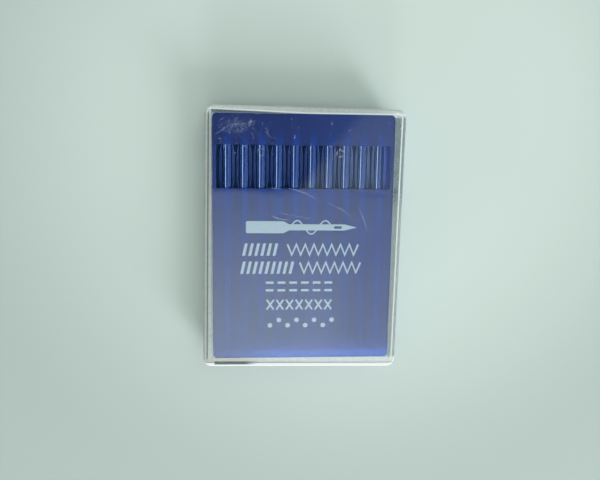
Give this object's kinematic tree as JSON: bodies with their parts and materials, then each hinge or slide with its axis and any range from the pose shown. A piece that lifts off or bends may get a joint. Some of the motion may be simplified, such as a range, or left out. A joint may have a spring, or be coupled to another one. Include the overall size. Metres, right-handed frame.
{
  "type": "sewing machine needle case",
  "caption": "Flat clear sliding case with a blue comb insert that holds a row of sewing machine needles behind a window.",
  "frame": {"origin": "middle of the back of the case, on the surface it lies on", "axes": "+Z out of the front face, +Y along the needles towards their butts and the cover's end wall, +X across the needles"},
  "size_m": [0.0422, 0.056, 0.0055],
  "materials": {
    "clear_plastic_base": "clear moulded plastic, lightly scratched",
    "clear_plastic_cover": "clear moulded plastic, lightly scratched",
    "blue_comb": "dark blue translucent moulded plastic",
    "blue_panel": "blue translucent moulded plastic with white print",
    "needle_steel": "polished plated steel",
    "white_print": "screen-printed white ink on the front panel"
  },
  "bodies": {
    "base": {"case_base": "clear_plastic_base", "needle_comb": "blue_comb", "front_panel": "blue_panel", "needle_1": "needle_steel", "needle_2": "needle_steel", "needle_3": "needle_steel", "needle_4": "needle_steel", "needle_5": "needle_steel", "needle_6": "needle_steel", "needle_7": "needle_steel", "needle_8": "needle_steel", "needle_9": "needle_steel", "needle_10": "needle_steel"},
    "cover": {"sliding_cover": "clear_plastic_cover"}
  },
  "joints": [
    {"name": "cover_slide", "type": "slide", "parent": "base", "child": "cover", "axis": [0, 1, 0], "range_m": [0, 0.03]}
  ]
}
